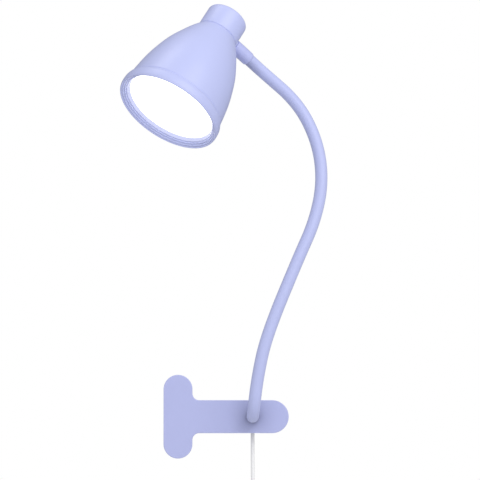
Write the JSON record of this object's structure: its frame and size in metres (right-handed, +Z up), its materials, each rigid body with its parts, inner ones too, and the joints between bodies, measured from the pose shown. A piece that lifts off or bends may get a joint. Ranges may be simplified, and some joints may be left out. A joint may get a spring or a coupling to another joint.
{
  "type": "clip-on reading lamp",
  "caption": "Clip-on reading lamp: T-shaped spring clip, flexible gooseneck, bell shade with a round LED diffuser, and a USB cord with an inline dimmer and a wall adapter.",
  "frame": {"origin": "middle of the front jaw pad's gripping face", "axes": "+Y from the front jaw into the board that it grips, +X along the handles towards the neck, +Z up along the neck"},
  "size_m": [0.1645, 0.1505, 0.5615],
  "materials": {
    "lavender_metal": "satin",
    "lavender_plastic": "satin",
    "lavender_sleeve": "matte",
    "pad_silicone": "matte",
    "bright_steel": "polished",
    "dull_steel": "brushed",
    "opal_diffuser": "satin",
    "white_reflector": "matte",
    "board_aluminium": "satin",
    "led_phosphor": "satin",
    "cord_white": "satin",
    "case_white": "satin",
    "button_grey": "satin",
    "circuit_green": "satin",
    "switch_black": "satin",
    "tie_white": "matte"
  },
  "bodies": {
    "clip_front": {"front_jaw_plate": "lavender_metal", "front_jaw_pad": "pad_silicone", "hinge_pin": "bright_steel", "torsion_springs": "dull_steel", "neck_nipple": "dull_steel", "neck_washer": "dull_steel", "neck_nut": "dull_steel", "cord_elbow": "cord_white", "lamp_cord": "cord_white", "lamp_cord_coil": "cord_white", "usb_cord": "cord_white", "usb_cord_coil": "cord_white", "cord_tie": "tie_white", "controller_front_shell": "case_white", "controller_back_shell": "case_white", "controller_board": "circuit_green", "controller_screws": "dull_steel", "tact_switches": "switch_black", "indicator_lens": "button_grey", "controller_relief_lamp": "cord_white", "controller_relief_usb": "cord_white", "usb_plug_grip": "case_white", "usb_plug_shell": "bright_steel", "usb_plug_tongue": "case_white", "neck_sleeve_1": "lavender_sleeve", "neck_core_1": "dull_steel"},
    "jaw_rear": {"rear_jaw_plate": "lavender_metal", "rear_jaw_pad": "pad_silicone"},
    "neck_2": {"neck_sleeve_2": "lavender_sleeve", "neck_core_2": "dull_steel"},
    "neck_3": {"neck_sleeve_3": "lavender_sleeve", "neck_core_3": "dull_steel"},
    "neck_4": {"neck_sleeve_4": "lavender_sleeve", "neck_core_4": "dull_steel"},
    "neck_5": {"neck_sleeve_5": "lavender_sleeve", "neck_core_5": "dull_steel"},
    "neck_6": {"neck_sleeve_6": "lavender_sleeve", "neck_core_6": "dull_steel", "head_ferrule": "lavender_metal", "swivel_stud": "dull_steel", "swivel_washer": "dull_steel", "swivel_nut": "dull_steel"},
    "head": {"shade_bell": "lavender_plastic", "shade_cap": "lavender_plastic", "bezel_ring": "lavender_plastic", "diffuser": "opal_diffuser", "reflector": "white_reflector", "led_board": "board_aluminium", "heat_spreader": "board_aluminium", "led_chips": "led_phosphor", "led_screws": "dull_steel"},
    "brighter": {"button_brighter": "button_grey"},
    "mode": {"button_mode": "button_grey"},
    "dimmer": {"button_dimmer": "button_grey"},
    "power": {"button_power": "button_grey"},
    "adapter": {"adapter_case": "case_white", "adapter_end_plate": "case_white", "adapter_blades": "bright_steel", "adapter_usb_socket": "bright_steel", "adapter_board": "circuit_green"}
  },
  "joints": [
    {"name": "jaw_hinge", "type": "hinge", "parent": "clip_front", "child": "jaw_rear", "pos_m": [0.04, 0.012, 0], "axis": [0, 0, -1], "range_deg": [0, 56], "stiffness_Nm_per_rad": 0.5, "springref_deg": -51.57, "deforming": ["torsion_springs"]},
    {"name": "neck_bend_1", "type": "hinge", "parent": "clip_front", "child": "neck_2", "pos_m": [0.06207, -0.03087, 0.0218], "axis": [0.0004, 1, 0.0031], "range_deg": [-25, 25]},
    {"name": "neck_bend_2", "type": "hinge", "parent": "neck_2", "child": "neck_3", "pos_m": [0.07972, -0.02421, 0.08689], "axis": [0.9267, -0.0658, -0.3701], "range_deg": [-25, 25]},
    {"name": "neck_bend_3", "type": "hinge", "parent": "neck_3", "child": "neck_4", "pos_m": [0.10219, -0.01445, 0.14005], "axis": [-0.0732, 0.984, -0.1625], "range_deg": [-25, 25]},
    {"name": "neck_bend_4", "type": "hinge", "parent": "neck_4", "child": "neck_5", "pos_m": [0.1137, -0.00385, 0.20308], "axis": [0.9932, 0.0146, 0.1157], "range_deg": [-25, 25]},
    {"name": "neck_bend_5", "type": "hinge", "parent": "neck_5", "child": "neck_6", "pos_m": [0.08164, -0.00483, 0.26315], "axis": [-0.1966, 0.9668, 0.1633], "range_deg": [-25, 25]},
    {"name": "head_swivel", "type": "hinge", "parent": "neck_6", "child": "head", "pos_m": [0.03261, -0.02682, 0.3051], "axis": [-0.7082, -0.3493, 0.6135], "range_deg": [-150, 150]},
    {"name": "brighter_press", "type": "slide", "parent": "clip_front", "child": "brighter", "axis": [0, 1, 0], "range_m": [0, 0.0008], "stiffness_N_per_m": 300, "springref_m": -0.001},
    {"name": "mode_press", "type": "slide", "parent": "clip_front", "child": "mode", "axis": [0, 1, 0], "range_m": [0, 0.0008], "stiffness_N_per_m": 300, "springref_m": -0.001},
    {"name": "dimmer_press", "type": "slide", "parent": "clip_front", "child": "dimmer", "axis": [0, 1, 0], "range_m": [0, 0.0008], "stiffness_N_per_m": 300, "springref_m": -0.001},
    {"name": "power_press", "type": "slide", "parent": "clip_front", "child": "power", "axis": [0, 1, 0], "range_m": [0, 0.0008], "stiffness_N_per_m": 300, "springref_m": -0.001},
    {"name": "adapter_pull", "type": "slide", "parent": "clip_front", "child": "adapter", "axis": [0, 0, -1], "range_m": [0, 0.014]}
  ]
}
